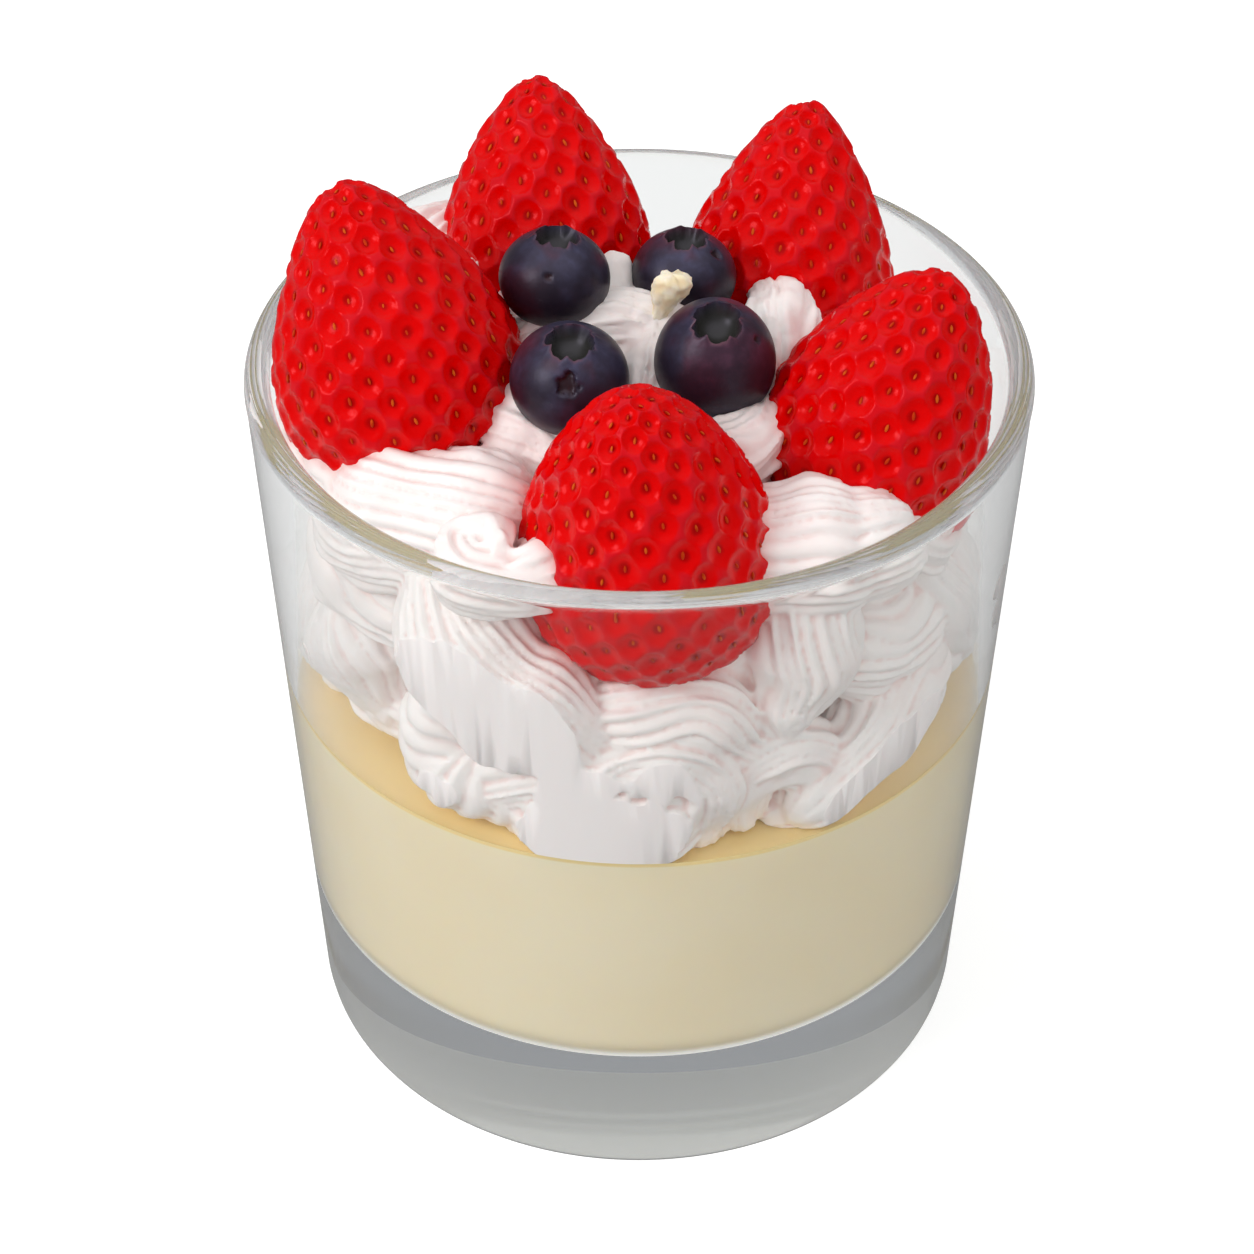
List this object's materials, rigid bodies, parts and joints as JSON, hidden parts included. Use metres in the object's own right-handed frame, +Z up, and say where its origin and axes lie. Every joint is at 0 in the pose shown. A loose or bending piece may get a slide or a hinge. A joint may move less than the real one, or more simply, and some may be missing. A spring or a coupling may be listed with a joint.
{
  "type": "red berry parfait",
  "caption": "Clear tapered tumbler with a thick base, holding a smooth custard layer under piped whipped cream, topped with whole strawberries and blueberries.",
  "frame": {"origin": "centre of the glass's underside, on the surface that it stands on", "axes": "+Z up along the glass's axis, +X to the right seen from the front, and the front of the dish is -Y"},
  "size_m": [0.088, 0.088, 0.1123],
  "materials": {
    "clear_glass": "smooth clear soda glass with a rounded lip",
    "custard": "smooth pale yellow custard, wetted to the glass",
    "whipped_cream": "soft pinkish white whipped cream with piped ridges",
    "strawberry": "glossy red strawberry skin with seeds in round pits",
    "blueberry": "dark violet blue berry skin with a thin waxy bloom",
    "pale_wax": "pale cream yellow waxy chip"
  },
  "bodies": {
    "root": {"glass": "clear_glass", "custard": "custard", "cream": "whipped_cream", "strawberry_back": "strawberry", "strawberry_back_right": "strawberry", "strawberry_left": "strawberry", "strawberry_right": "strawberry", "strawberry_front": "strawberry", "blueberry_back_left": "blueberry", "blueberry_back_right": "blueberry", "blueberry_front_left": "blueberry", "blueberry_front_right": "blueberry", "centre_stub": "pale_wax"}
  },
  "joints": []
}
